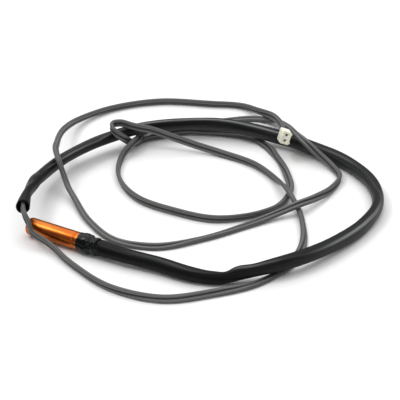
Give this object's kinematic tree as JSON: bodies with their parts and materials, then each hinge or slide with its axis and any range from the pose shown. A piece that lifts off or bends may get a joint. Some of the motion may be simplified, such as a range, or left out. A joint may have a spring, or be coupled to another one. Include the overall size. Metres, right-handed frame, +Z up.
{
  "type": "temperature probe",
  "caption": "Thermistor temperature probe: a copper capsule with a shrunk boot, a soft black sleeve and a flat twin lead that ends in a small white connector.",
  "frame": {"origin": "centre of the capsule and its boot, at the level of the surface that they lie on", "axes": "+X runs along the capsule from its closed tip to the boot's tail, +Z is up"},
  "size_m": [0.1254, 0.1316, 0.0131],
  "materials": {
    "copper_capsule": "bright drawn copper, lightly tarnished",
    "potting_resin": "cast epoxy resin",
    "bead_glaze": "dipped epoxy over a ceramic thermistor",
    "tinned_wire": "tinned, dull bright",
    "leg_insulation": "thin smooth tube",
    "shrunk_boot": "glossy, shrunk tight over the steps under it",
    "soft_sleeve": "satin black flexible PVC",
    "lead_jacket": "satin grey PVC",
    "copper_core": "bare stranded copper",
    "connector_nylon": "natural white moulded nylon",
    "contact_tin": "tin-plated phosphor bronze"
  },
  "bodies": {
    "root": {"capsule": "copper_capsule", "potting": "potting_resin", "thermistor_bead": "bead_glaze", "leg_a": "tinned_wire", "leg_b": "tinned_wire", "leg_tube_a": "leg_insulation", "leg_tube_b": "leg_insulation", "splice_a": "tinned_wire", "splice_b": "tinned_wire", "boot": "shrunk_boot", "sleeve": "soft_sleeve", "lead": "lead_jacket", "core_a": "copper_core", "core_b": "copper_core", "connector_housing": "connector_nylon", "contact_a": "contact_tin", "contact_b": "contact_tin"}
  },
  "joints": []
}
